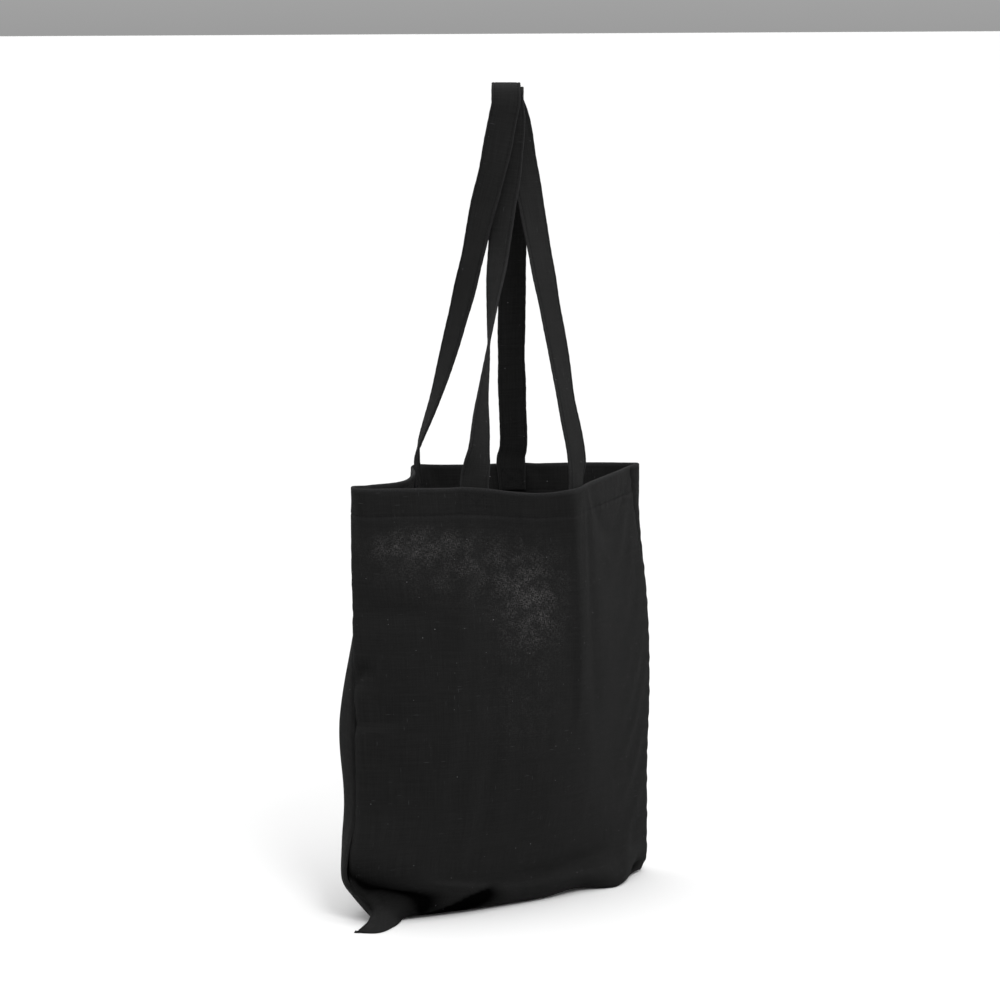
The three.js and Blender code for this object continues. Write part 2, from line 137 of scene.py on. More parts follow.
# Creases: (start, end, height, width of the sharp side, width of the broad side), in (u, v).
FRONT_FOLDS = [
    ((-6, 338), (44, 380), -6.0, 5.0, 13.0),
    ((229, -6), (231, 222), 3.2, 4.5, 7.0),
    ((-4, 213), (58, 206), -2.8, 3.0, 8.0),
    ((296, 402), (340, 340), 2.6, 8.0, 5.0),
    ((24, 156), (6, 178), -3.5, 3.5, 6.0),
    ((130, 330), (250, 352), 0.9, 12.0, 20.0),
]
FRONT_DENTS = [
    ((20, 164), (10, 8), -2.2),
    ((56, 110), (30, 12), -3.4),
    ((350, 390), (13, 11), -5.0),
    ((120, 150), (50, 40), 1.8),
    ((190, 260), (45, 60), 1.2),
    ((300, 250), (30, 80), -1.5),
    ((60, 290), (30, 50), 1.5),
]
BACK_FOLDS = [
    ((20, 60), (90, 150), -2.2, 6.0, 14.0),
    ((300, 330), (220, 392), -3.0, 6.0, 14.0),
    ((150, 20), (152, 210), 1.8, 8.0, 8.0),
]
BACK_DENTS = [((110, 240), (50, 60), -2.0), ((260, 180), (50, 70), 2.0), ((200, 330), (70, 30), -1.5)]
# Shade painted into the deepest folds and along the left side seam, which are shallower here than in a real
# bag:
# (start, end, how much, width of the sharp side, width of the broad side), and painted shade in one round
# pit.
FRONT_SHADE = [
    ((-4, 340), (82, 406), 0.95, 5.0, 9.0),
    ((144, 370), (68, 404), 1.15, 1.5, 15.0),
    ((2.2, 120), (2.2, 350), 1.0, 1.7, 1.7),
]
FRONT_PIT = ((350, 392), (11, 8), 0.7)
# Where loose lint lies: (place, size, how thick).
FRONT_DUST = [
    ((80, 50), (36, 11), 0.75),
    ((182, 106), (27, 34), 0.85),
    ((130, 70), (70, 26), 0.35),
    ((170, 190), (40, 60), 0.12),
]
BACK_DUST = ((150, 120), (60, 40), 0.25)

# The four legs of the handles, from the bend down to just above the rim. Each point is
# (across, depth, drop, turn): across and depth from the middle of the bend, drop below its
# top, and turn, in degrees, of the strap's width about the vertical.
LOOP_TOP = np.array([6.0, -4.0, 748.0])
ACROSS_HEADING = -35.0
BACK_LEFT_LEG = [
    (-3, -15, 32, -3), (-11, -12, 73, -15), (-22, -6, 117, -30), (-30, 1, 155, -42),
    (-41, 16, 201, -47), (-53, 30, 247, -57), (-66, 43, 292, -71), (-80, 54, 333, -85),
]
BACK_RIGHT_LEG = [
    (1, 17, 32, 0), (3, 24, 74, 8), (5, 34, 117, 12), (6, 43, 160, 14),
    (5, 59, 249, 14), (6, 68, 295, 10), (7, 76, 340, 5),
]
FRONT_LEFT_LEG = [
    (4, -11, 32, 175), (2, -9, 73, 165), (-3, -10, 114, 150), (-7, -16, 154, 135),
    (-12, -32, 197, 110), (-16, -46, 239, 86), (-21, -59, 281, 68), (-24, -72, 322, 46),
]
FRONT_RIGHT_LEG = [
    (8, 11, 32, 185), (16, 5, 73, 197), (22, -3, 106, 207), (31, -15, 155, 217),
    (39, -26, 198, 224), (47, -35, 240, 228), (54, -44, 283, 234), (63, -53, 330, 232),
]
FRONT_BEND = (11.5, 3.0, 180.0)  # radius, shift across, turn
BACK_BEND = (15.5, 0.0, 0.0)


# ---- the camera, the floor and the light ----

CAMERA_PLACE = (-1.8117, -2.5995, 0.814)
CAMERA_HEADING = 35.0  # degrees from +Y towards +X
CAMERA_PITCH = 8.0  # degrees down
CAMERA_LENS = 126.0
DOME_BELOW = 0.06  # the dome's strength under the floor's level
DOME_EDGE = 0.4  # at the horizon
DOME_RISE = 1.08  # what overhead adds to that


def add_camera():
    data = bpy.data.cameras.new("camera")
    data.lens = CAMERA_LENS
    data.sensor_width = 36.0
    camera = bpy.data.objects.new("camera", data)
    camera.location = CAMERA_PLACE
    camera.rotation_euler = (math.radians(90 - CAMERA_PITCH), 0, -math.radians(CAMERA_HEADING))
    bpy.context.scene.collection.objects.link(camera)
    bpy.context.scene.camera = camera


def add_area_light(name, place, target, size, power):
    data = bpy.data.lights.new(name, "AREA")
    data.shape = "DISK"
    data.size = size
    data.energy = power
    light = bpy.data.objects.new(name, data)
    light.location = place
    light.rotation_euler = (Vector(target) - Vector(place)).to_track_quat("-Z", "Y").to_euler()
    bpy.context.scene.collection.objects.link(light)


def add_dome():
    """A white studio dome: bright overhead, and dim below the floor's level."""
    world = bpy.data.worlds.new("studio")
    bpy.context.scene.world = world
    world.use_nodes = True
    nodes, links = world.node_tree.nodes, world.node_tree.links
    direction = nodes.new("ShaderNodeTexCoord")
    split = nodes.new("ShaderNodeSeparateXYZ")
    links.new(direction.outputs["Generated"], split.inputs[0])
    bands = []
    for low, high, dim, bright in ((-0.12, 0.02, DOME_BELOW, DOME_EDGE), (0.02, 1.0, 0.0, DOME_RISE)):
        band = nodes.new("ShaderNodeMapRange")
        band.inputs["From Min"].default_value = low
        band.inputs["From Max"].default_value = high
        band.inputs["To Min"].default_value = dim
        band.inputs["To Max"].default_value = bright
        links.new(split.outputs["Z"], band.inputs["Value"])
        bands.append(band)
    total = nodes.new("ShaderNodeMath")
    for socket, band in enumerate(bands):
        links.new(band.outputs["Result"], total.inputs[socket])
    nodes["Background"].inputs["Color"].default_value = (1, 1, 1, 1)
    links.new(total.outputs[0], nodes["Background"].inputs["Strength"])


FLOOR_SIZE = 90.0  # metres, far enough for its edge to stay out of sight


def add_stage():
    size = FLOOR_SIZE
    mesh = bpy.data.meshes.new("floor")
    mesh.from_pydata([(-size, -size, 0), (size, -size, 0), (size, size, 0), (-size, size, 0)],
                     [], [(0, 1, 2, 3)])
    floor = bpy.data.objects.new("floor", mesh)
    floor.location.z = -0.0004
    bpy.context.scene.collection.objects.link(floor)
    material = bpy.data.materials.new("floor")
    material.use_nodes = True
    shader = material.node_tree.nodes["Principled BSDF"]
    shader.inputs["Base Color"].default_value = (0.93, 0.93, 0.93, 1)
    shader.inputs["Roughness"].default_value = 0.9
    shader.inputs["Specular IOR Level"].default_value = 0.1
    mesh.materials.append(material)
    floor.visible_diffuse = False
    add_dome()
    bpy.context.scene.view_settings.view_transform = "Standard"


# ---- curves and surfaces ----

def catmull_rom(points, places):
    """The centripetal curve through points, at places counted in points from the first one.
    points may hold several curves side by side: its first axis runs along them."""
    points = np.asarray(points, float)
    places = np.atleast_1d(places)
    before, after = 2 * points[0] - points[1], 2 * points[-1] - points[-2]
    p = np.concatenate([before[None], points, after[None]])
    i = np.clip(places.astype(int), 0, len(points) - 2)
    p0, p1, p2, p3 = p[i], p[i + 1], p[i + 2], p[i + 3]
    d0, d1, d2 = (np.sqrt(np.linalg.norm(b - a, axis=-1, keepdims=True)) + 1e-9
                  for a, b in ((p0, p1), (p1, p2), (p2, p3)))
    start = ((p1 - p0) / d0 - (p2 - p0) / (d0 + d1) + (p2 - p1) / d1) * d1
    end = ((p2 - p1) / d1 - (p3 - p1) / (d1 + d2) + (p3 - p2) / d2) * d1
    t = (places - i).reshape((-1,) + (1,) * (points.ndim - 1))
    return ((2 * t**3 - 3 * t**2 + 1) * p1 + (t**3 - 2 * t**2 + t) * start
            + (3 * t**2 - 2 * t**3) * p2 + (t**3 - t**2) * end)


def along(line):
    """How far along a line each of its points lies."""
    return np.concatenate([[0], np.cumsum(np.linalg.norm(np.diff(line, axis=0), axis=1))])


def at_lengths(line, lengths):
    reached = along(line)
    return np.stack([np.interp(lengths, reached, line[:, k]) for k in range(line.shape[1])], 1)


def unit(vectors):
    return vectors / np.maximum(np.linalg.norm(vectors, axis=-1, keepdims=True), 1e-12)


def smooth(x, low, high):
    t = np.clip((x - low) / (high - low), 0, 1)
    return t * t * (3 - 2 * t)


def shape_grid(rows):
    """A panel's middle surface on the even grid: (v, u, xyz)."""
    rows = np.array(rows, float)
    vs = np.arange(0, CUT_HEIGHT + 1, CELL)
    row = np.clip(np.searchsorted(ROW_DROPS, vs, side="right") - 1, 0, len(ROW_DROPS) - 2)
    drops = np.array(ROW_DROPS, float)
    controls = catmull_rom(rows, row + (vs - drops[row]) / (drops[row + 1] - drops[row]))
    us = np.arange(0, CUT_WIDTH + 1, CELL)
    places = np.linspace(0, rows.shape[1] - 1, 500)
    grid = []
    for control in controls:
        line = catmull_rom(control, places)
        grid.append(at_lengths(line, us / CUT_WIDTH * along(line)[-1]))
    grid = np.array(grid)
    grid[..., 2] = np.maximum(grid[..., 2], 0)
    return grid


def grid_normals(grid, outward):
    return unit(np.cross(np.gradient(grid, axis=0), np.gradient(grid, axis=1))) * outward


def padded_grid(grid):
    """Two more cells on each side, straight on."""
    for axis in (0, 1):
        first, second = np.take(grid, [0], axis), np.take(grid, [1], axis)
        last, previous = np.take(grid, [-1], axis), np.take(grid, [-2], axis)
        step, step_back = first - second, last - previous
        grid = np.concatenate([first + 2 * step, first + step, grid,
                               last + step_back, last + 2 * step_back], axis)
    return grid


class Panel:
    """One panel of canvas. Its outer face is the grid, and offsets count outwards."""

    def __init__(self, grid, normals):
        self.grid = padded_grid(grid)
        self.normals = padded_grid(normals)

    def mix(self, grid, u, v):
        result = 0
        row, down = self.cell(v, grid.shape[0])
        column, right = self.cell(u, grid.shape[1])
        for i, a in enumerate(self.basis(down)):
            for j, b in enumerate(self.basis(right)):
                result = result + (a * b)[..., None] * grid[row + i - 1, column + j - 1]
        return result

    @staticmethod
    def cell(x, count):
        place = np.asarray(x, float) / CELL + 2
        index = np.clip(np.floor(place).astype(int), 1, count - 3)
        return index, place - index

    @staticmethod
    def basis(t):
        return (-t / 2 + t**2 - t**3 / 2, 1 - 2.5 * t**2 + 1.5 * t**3,
                t / 2 + 2 * t**2 - 1.5 * t**3, -t**2 / 2 + t**3 / 2)

    def at(self, u, v, offset=0.0):
        u, v, offset = np.broadcast_arrays(np.asarray(u, float), v, offset)
        normal = unit(self.mix(self.normals, u, np.maximum(v, 0)))
        point = self.mix(self.grid, u, v) + normal * offset[..., None]
        point[..., 2] = np.maximum(point[..., 2], 0)
        return point


# ---- making meshes ----

def add_mesh(name, vertices, faces, attributes, material):
    """vertices are in millimetres in the bag's frame. attributes are {name: values}."""
    mesh = bpy.data.meshes.new(name)
    mesh.from_pydata(((vertices + FRAME_SHIFT) / METRE).tolist(), [], faces)
    for key, values in attributes.items():
        values = np.asarray(values, float)
        if values.ndim == 2:
            made = mesh.attributes.new(key, "FLOAT_VECTOR", "POINT")
            made.data.foreach_set("vector", values.ravel())
        else:
            made = mesh.attributes.new(key, "FLOAT", "POINT")
            made.data.foreach_set("value", values)
    mesh.shade_smooth()
    mesh.materials.append(material)
    mesh.validate()
    obj = bpy.data.objects.new(name, mesh)
    bpy.context.scene.collection.objects.link(obj)
    return obj


def quads(rows, columns, start=0, closed=False):
    """Faces of a grid of vertices. closed joins the last column to the first."""
    width = columns if closed else columns - 1
    return [(start + i * columns + j, start + i * columns + (j + 1) % columns,
             start + (i + 1) * columns + (j + 1) % columns, start + (i + 1) * columns + j)
            for i in range(rows - 1) for j in range(width)]


def add_cloth(name, centre, thickness, cloth, wear_and_painted_light, material, flip, dust=None):
    """A sheet with two faces and a border. centre is its middle surface, (rows, columns, xyz)."""
    rows, columns = centre.shape[:2]
    normal = unit(np.cross(np.gradient(centre, axis=0), np.gradient(centre, axis=1)))
    faces_apart = thickness / 2 * (-1 if flip else 1)
    front, back = centre + normal * faces_apart, centre - normal * faces_apart
    vertices = np.concatenate([front.reshape(-1, 3), back.reshape(-1, 3)])
    vertices[:, 2] = np.maximum(vertices[:, 2], 0)
    count = rows * columns
    faces = quads(rows, columns)
    faces += [tuple(reversed(face)) for face in quads(rows, columns, count)]
    border = [(0, j) for j in range(columns - 1)]
    border += [(i, columns - 1) for i in range(rows - 1)]
    border += [(rows - 1, j) for j in range(columns - 1, 0, -1)]
    border += [(i, 0) for i in range(rows - 1, 0, -1)]
    ring = [i * columns + j for i, j in border]
    for a, b in zip(ring, ring[1:] + ring[:1]):
        faces.append((b, a, a + count, b + count))
    if flip:
        faces = [tuple(reversed(face)) for face in faces]
    cloth = np.concatenate([cloth.reshape(-1, 3)] * 2)
    attributes = {"cloth": cloth, "wear_and_painted_light": np.concatenate([wear_and_painted_light.ravel()] * 2)}
    if dust is not None:
        attributes["dust"] = np.concatenate([dust.ravel()] * 2)
    return add_mesh(name, vertices, faces, attributes, material)


STITCH_RINGS = 5
STITCH_SIDES = 6


def stitches(line, normals, pitch=STITCH_PITCH, length=STITCH_LENGTH, start=0.6):
    """Vertices and faces of a row of stitches along a line that lies on a surface."""
    reached = along(line)
    first = np.arange(start, reached[-1] - length, pitch)
    share = np.linspace(0, 1, STITCH_RINGS)
    places = first[:, None] + share * length
    centre = np.stack([np.interp(places, reached, line[:, k]) for k in range(3)], -1)
    normal = unit(np.stack([np.interp(places, reached, normals[:, k]) for k in range(3)], -1))
    centre += normal * (THREAD * (0.42 * np.sin(np.pi * share) - 0.12))[:, None]
    tangent = unit(np.gradient(centre, axis=1))
    side = unit(np.cross(tangent, normal))
    up = np.cross(side, tangent)
    radius = THREAD / 2 * np.array([0.35, 0.9, 1.0, 0.9, 0.35])
    angles = np.arange(STITCH_SIDES) * 2 * np.pi / STITCH_SIDES
    around = (np.cos(angles)[:, None] * side[:, :, None] + np.sin(angles)[:, None] * up[:, :, None])
    vertices = centre[:, :, None] + radius[:, None, None] * around
    count = len(first)
    per = STITCH_RINGS * STITCH_SIDES
    one = [tuple(reversed(f)) for f in quads(STITCH_RINGS, STITCH_SIDES, 0, True)]
    one.append(tuple(range(STITCH_SIDES)))
    one.append(tuple(reversed(range(per - STITCH_SIDES, per))))
    faces = [tuple(k * per + x for x in face) for k in range(count) for face in one]
    return vertices.reshape(-1, 3), faces


def add_stitching(name, rows, material):
    """rows are (line, normals) pairs; all their stitches are one mesh."""
    vertices, faces, total = [], [], 0
    for line, normals in rows:
        points, quad = stitches(line, normals)
        faces += [tuple(total + x for x in face) for face in quad]
        vertices.append(points)
        total += len(points)
    vertices = np.concatenate(vertices)
    return add_mesh(name, vertices, faces, {"cloth": vertices / METRE}, material)


# ---- materials ----

class Nodes:
    """Short calls for building a material's node tree."""

    def __init__(self, name):
        self.material = bpy.data.materials.new(name)
        self.material.use_nodes = True
        self.tree = self.material.node_tree
        self.shader = self.tree.nodes["Principled BSDF"]

    def link(self, value, socket):
        if isinstance(value, bpy.types.NodeSocket):
            self.tree.links.new(value, socket)
        else:
            socket.default_value = value

    def math(self, operation, a, b=0.0, c=0.0, clamp=False):
        node = self.tree.nodes.new("ShaderNodeMath")
        node.operation = operation
        node.use_clamp = clamp
        for value, socket in zip((a, b, c), node.inputs):
            self.link(value, socket)
        return node.outputs[0]

    def attribute(self, name):
        node = self.tree.nodes.new("ShaderNodeAttribute")
        node.attribute_name = name
        return node

    def scaled(self, vector, scale):
        node = self.tree.nodes.new("ShaderNodeVectorMath")
        node.operation = "MULTIPLY"
        self.link(vector, node.inputs[0])
        node.inputs[1].default_value = scale
        return node.outputs[0]

    def noise(self, vector, scale, detail=2.0, roughness=0.5):
        node = self.tree.nodes.new("ShaderNodeTexNoise")
        self.link(vector, node.inputs["Vector"])
        node.inputs["Scale"].default_value = scale
        node.inputs["Detail"].default_value = detail
        node.inputs["Roughness"].default_value = roughness
        return node.outputs["Fac"]

    def ramp(self, value, low, high, to_low=0.0, to_high=1.0):
        node = self.tree.nodes.new("ShaderNodeMapRange")
        self.link(value, node.inputs["Value"])
        node.inputs["From Min"].default_value = low
        node.inputs["From Max"].default_value = high
        node.inputs["To Min"].default_value = to_low
        node.inputs["To Max"].default_value = to_high
        return node.outputs["Result"]

    def mixed(self, share, a, b):
        node = self.tree.nodes.new("ShaderNodeMix")
        node.data_type = "RGBA"
        self.link(share, node.inputs["Factor"])
        self.link(a, node.inputs["A"])
        self.link(b, node.inputs["B"])
        return node.outputs["Result"]

    def flecks(self, vector, scale, share, size):
        """Small spots, 0 to 1, in that share of the cells of a Voronoi pattern."""
        cells = self.tree.nodes.new("ShaderNodeTexVoronoi")
        self.link(vector, cells.inputs["Vector"])
        cells.inputs["Scale"].default_value = scale
        draw = self.tree.nodes.new("ShaderNodeSeparateColor")
        self.link(cells.outputs["Color"], draw.inputs[0])
        chosen = self.math("GREATER_THAN", draw.outputs[0], 1.0 - share)
        spot = self.ramp(cells.outputs["Distance"], size, size * 0.45)
        return self.math("MULTIPLY", self.math("MULTIPLY", chosen, spot), draw.outputs[1], clamp=True)

    def bump(self, height, distance, normal=None):
        node = self.tree.nodes.new("ShaderNodeBump")
        self.link(height, node.inputs["Height"])
        node.inputs["Distance"].default_value = distance
        if normal is not None:
            self.link(normal, node.inputs["Normal"])
        return node.outputs["Normal"]


YARN = 0.00062  # metres from one yarn to the next
CANVAS_TONE = 0.012
STRAP_TONE = 0.0145
# Worn seams and the painted highlight along the rim both take this paler tone.
WORN_AND_HIGHLIT_TONE = (0.045, 0.045, 0.047, 1)
DUST_TONE = (0.180, 0.174, 0.174, 1)
LINT_TONE = (0.30, 0.30, 0.31, 1)
FIBRE_TONE = (0.048, 0.048, 0.050, 1)
DARK_THREAD = (0.004, 0.004, 0.0043, 1)
PALE_THREAD = (0.010, 0.010, 0.0105, 1)
FIBRE_SHARE = 0.014


def weave_height(n, x, y):
    """Plain weave: each yarn is round and goes over and under its neighbours."""
    across_warp = n.math("SINE", n.math("MULTIPLY", x, math.pi))
    across_weft = n.math("SINE", n.math("MULTIPLY", y, math.pi))
    over = n.math("MULTIPLY", across_warp, across_weft)
    warp = n.math("MULTIPLY", n.math("ABSOLUTE", across_warp), n.math("MULTIPLY_ADD", over, 0.6, 1.0))
    weft = n.math("MULTIPLY", n.math("ABSOLUTE", across_weft), n.math("MULTIPLY_ADD", over, -0.6, 1.0))
    return n.math("MAXIMUM", warp, weft)


def canvas_material(name, tone, lint):
    """Black cotton canvas: plain weave with uneven yarns, ridges worn pale, a painted highlight along the
    rim, painted shade in the deepest folds and white lint. Its attribute for worn spots and painted light
    is above zero where the cloth is worn paler and on the rim's painted highlight, and below zero in the
    painted shade."""
    n = Nodes(name)
    cloth = n.attribute("cloth").outputs["Vector"]
    wear_and_painted_light = n.attribute("wear_and_painted_light").outputs["Fac"]
    wander = n.noise(cloth, 90.0, 2.0)
    split = n.tree.nodes.new("ShaderNodeSeparateXYZ")
    n.link(cloth, split.inputs[0])
    x = n.math("MULTIPLY_ADD", wander, 1.2, n.math("DIVIDE", split.outputs["X"], YARN))
    y = n.math("MULTIPLY_ADD", wander, -1.1, n.math("DIVIDE", split.outputs["Y"], YARN))
    height = weave_height(n, x, y)
    warp_slub = n.noise(n.scaled(cloth, (900.0, 28.0, 1.0)), 1.0, 1.0)
    weft_slub = n.noise(n.scaled(cloth, (24.0, 950.0, 1.0)), 1.0, 1.0)
    slub = n.math("ADD", warp_slub, weft_slub)
    clouds = n.noise(cloth, 14.0, 4.0, 0.6)
    fuzz = n.noise(cloth, 2600.0, 2.0, 0.7)

    shade = n.math("MULTIPLY", n.ramp(slub, 0.7, 1.3, 0.75, 1.25), n.ramp(clouds, 0.3, 0.7, 0.9, 1.1))
    # The weave's height also sets the colour: painted shade in the hollows between the yarns, a painted
    # highlight on their crowns.
    shade = n.math("MULTIPLY", shade, n.ramp(height, 0.2, 1.4, 0.7, 1.15))
    # Painted shade: below zero the attribute darkens the cloth, down to a fifth of its tone.
    shade = n.math("MULTIPLY", shade, n.ramp(wear_and_painted_light, -0.8, 0.0, 0.2, 1.0))
    dark = n.mixed(n.ramp(shade, 0.2, 1.6), (tone * 0.2,) * 3 + (1,), (tone * 1.55,) * 3 + (1,))

    # Paler where the cloth is worn, and along the painted highlight on the rim.
    worn_and_highlit = n.math("MULTIPLY", wear_and_painted_light, n.ramp(fuzz, 0.35, 0.7), clamp=True)
    colour = n.mixed(worn_and_highlit, dark, WORN_AND_HIGHLIT_TONE)

    fibres = [n.noise(n.scaled(cloth, way), 1.0, 2.0, 0.6)
              for way in ((1500.0, 330.0, 1.0), (330.0, 1500.0, 1.0))]
    speckle = n.ramp(n.math("MAXIMUM", *fibres), 0.5, 0.68)
    speckle = n.math("MULTIPLY", speckle, n.ramp(n.noise(cloth, 75.0, 3.0), 0.38, 0.6, 0.3, 1.0))
    dusty = n.math("MULTIPLY", n.attribute("dust").outputs["Fac"], speckle, clamp=True)
    colour = n.mixed(dusty, colour, DUST_TONE)
    fleck = n.flecks(cloth, 430.0, lint * 1.5, 0.2)
    colour = n.mixed(fleck, colour, LINT_TONE)
    for stretch in ((120.0, 1300.0, 1.0), (1300.0, 150.0, 1.0)):
        fibre = n.flecks(n.scaled(cloth, stretch), 1.0, FIBRE_SHARE, 0.42)
        colour = n.mixed(fibre, colour, FIBRE_TONE)

    n.link(colour, n.shader.inputs["Base Color"])
    n.shader.inputs["Roughness"].default_value = 0.92
    # In the painted shade the specular and the sheen fade to nothing too, so it paints darker.
    for socket, level in (("Specular IOR Level", 0.12), ("Sheen Weight", 0.03)):
        n.link(n.ramp(wear_and_painted_light, -0.8, 0.0, 0.0, level), n.shader.inputs[socket])
    n.shader.inputs["Sheen Roughness"].default_value = 0.6
    relief = n.math("MULTIPLY_ADD", fuzz, 0.35, n.math("MULTIPLY_ADD", slub, 0.5, height))
    n.link(n.bump(relief, 0.00028), n.shader.inputs["Normal"])
    return n.material


def thread_material():
    """Black sewing thread: two plies twisted together, a little shinier than the cloth."""
    n = Nodes("black_thread")
    cloth = n.attribute("cloth").outputs["Vector"]
    twist = n.tree.nodes.new("ShaderNodeTexWave")
    twist.bands_direction = "DIAGONAL"
    n.link(cloth, twist.inputs["Vector"])
    twist.inputs["Scale"].default_value = 900.0
    twist.inputs["Distortion"].default_value = 1.5
    tone = n.mixed(twist.outputs["Fac"], DARK_THREAD, PALE_THREAD)
    n.link(tone, n.shader.inputs["Base Color"])
    n.shader.inputs["Roughness"].default_value = 0.85
    n.shader.inputs["Specular IOR Level"].default_value = 0.15
    n.link(n.bump(twist.outputs["Fac"], 0.00012), n.shader.inputs["Normal"])
    return n.material


# ---- the panels ----

def hold_strength(rows, columns):
    """How firmly each point of a panel is held while it settles: fully at the base, the strap ends
    and the seams, and hardly at all in the open cloth."""
    v, u = np.meshgrid(np.arange(rows) * CELL, np.arange(columns) * CELL, indexing="ij")
    edge = np.minimum(u, CUT_WIDTH - u)
    hold = HOLD_OPEN + HOLD_SEAM * np.exp(-(edge / ALLOWANCE) ** 2)
    hold += HOLD_RIM * np.exp(-(v / 12.0) ** 2) + smooth(v, CUT_HEIGHT - 60, CUT_HEIGHT - 30)
    for sign in (-1, 1):
        root = CUT_WIDTH / 2 + sign * STRAP_OFFSET
        hold += np.exp(-((u - root) / 14.0) ** 4 - (v / HEM_DEPTH) ** 4)
    return np.clip(hold, 0, 1)


def settled(grids):
    """The cloth hung from its strap ends and standing on its base: a short cloth simulation.
    The canvas is a little larger than its form, so it ripples between the places that hold it."""
    front, back = grids
    rows, columns = front.shape[:2]
    inner = np.zeros((rows, columns), bool)
    inner[:-1, 1:-1] = True
    front_ids = np.arange(rows * columns).reshape(rows, columns)
    back_ids = front_ids.copy()
    back_ids[inner] = rows * columns + np.arange(inner.sum())
    vertices = np.concatenate([front.reshape(-1, 3), back[inner]])
    faces = []
    for ids, step in ((front_ids, 1), (back_ids, -1)):
        corners = np.stack([ids[:-1, :-1], ids[1:, :-1], ids[1:, 1:], ids[:-1, 1:]], -1).reshape(-1, 4)
        faces += corners[:, ::step].tolist()
    mesh = bpy.data.meshes.new("settling")
    mesh.from_pydata((vertices / METRE).tolist(), [], faces)
    bag = bpy.data.objects.new("settling", mesh)
    bpy.context.scene.collection.objects.link(bag)
    held = bag.vertex_groups.new(name="held")
    hold = hold_strength(rows, columns)
    for index, strength in enumerate(np.concatenate([hold.ravel(), hold[inner]])):
        held.add([index], float(strength), "REPLACE")
    cloth = bag.modifiers.new("cloth", "CLOTH")
    cloth.settings.quality = 5
    cloth.settings.mass = 0.3
    cloth.settings.tension_stiffness = SETTLE_STRETCH
    cloth.settings.compression_stiffness = SETTLE_STRETCH
    cloth.settings.shear_stiffness = SETTLE_SHEAR
    cloth.settings.bending_stiffness = SETTLE_BENDING
    cloth.settings.air_damping = 2.0
    cloth.settings.vertex_group_mass = "held"
    cloth.settings.pin_stiffness = 1.0
    cloth.settings.shrink_min = SETTLE_GROWTH
    cloth.settings.shrink_max = SETTLE_GROWTH
    cloth.collision_settings.use_collision = False
    cloth.point_cache.frame_start = 1
    cloth.point_cache.frame_end = SETTLE_FRAMES
    scene = bpy.context.scene
    for step in range(1, SETTLE_FRAMES + 1):
        scene.frame_set(step)
    done = bag.evaluated_get(bpy.context.evaluated_depsgraph_get()).to_mesh()
    places = np.empty(len(vertices) * 3)
    done.vertices.foreach_get("co", places)
    scene.frame_set(1)
    moved = places.reshape(-1, 3) * METRE - vertices
    bpy.data.objects.remove(bag)
    bpy.data.meshes.remove(mesh)
    length = np.linalg.norm(moved, axis=1, keepdims=True)
    moved *= SETTLE_LIMIT / (SETTLE_LIMIT + length)
    settled_grids = []
    for grid, ids in ((front, front_ids), (back, back_ids)):
        ripples = softened(moved[ids], 1)
        sag = softened(ripples, SAG_PASSES)
        moves = RIPPLE_SHARE * (ripples - sag) + SAG_SHARE * sag
        us = np.arange(columns) * CELL
        edge = np.minimum(us, us[-1] - us)
        settled_grids.append(grid + moves * smooth(edge, 0, SEAM_HOLD)[:, None])
    return settled_grids


def softened(field, passes):
    """The field blurred over its neighbours that many times, but not along the panel's borders."""
    for axis in [0, 1] * passes:
        inside = [slice(None)] * 3
        inside[axis] = slice(1, -1)
        before, after = list(inside), list(inside)
        before[axis], after[axis] = slice(None, -2), slice(2, None)
        blurred = field.copy()
        blurred[tuple(inside)] = (field[tuple(before)] + 2 * field[tuple(inside)] + field[tuple(after)]) / 4
        field = blurred
    return field


def ripple(x, length, seed):
    """An uneven wave of about that length, from -1 to 1."""
    return (np.sin(2 * np.pi * x / length + seed) * 0.6
            + np.sin(2 * np.pi * x / (length * 0.63) + 2.1 * seed) * 0.4)


def hem_profile():
    """The sheet's path from the bottom seam up, over the rim and into the hem: (v, offset)."""
    ply = CLOTH + PLY_GAP
    middle = -CLOTH / 2
    outer = [(v, middle) for v in np.arange(CUT_HEIGHT, HEM_DEPTH + 8, -3.0)]
    outer += [(v, middle) for v in np.arange(HEM_DEPTH + 6, 0.5, -1.2)]
    turns = np.radians(np.arange(0, 181, 22.5))
    over = [(-ply * math.sin(a), middle - ply * (1 - math.cos(a))) for a in turns]
    inner = [(v, middle - 2 * ply) for v in np.arange(1.2, HEM_DEPTH - 0.6, 1.2)]
    under = [(HEM_DEPTH + ply / 2 * math.sin(a), middle - 2 * ply + ply / 2 * (1 - math.cos(a)))
             for a in turns]
    back_up = [(v, middle - ply) for v in np.arange(HEM_DEPTH - 1.2, HEM_DEPTH - HEM_TURN, -2.0)]
    return np.array(outer + over + inner + under + back_up), len(outer) + len(turns) // 2


def seam_groove(u, v):
    """How far in the cloth is drawn along the side seams, with the puckers of their stitches."""
    edge = np.minimum(u, CUT_WIDTH - u)
    side = np.where(u < CUT_WIDTH / 2, 0.0, 2.6)
    drawn = -SEAM_DEPTH * np.exp(-(edge / 3.0) ** 2)
    pucker = 0.42 * ripple(v, 17.0, 0.7 + side) * np.exp(-((edge - 6) / 7.0) ** 2)
    return drawn + pucker


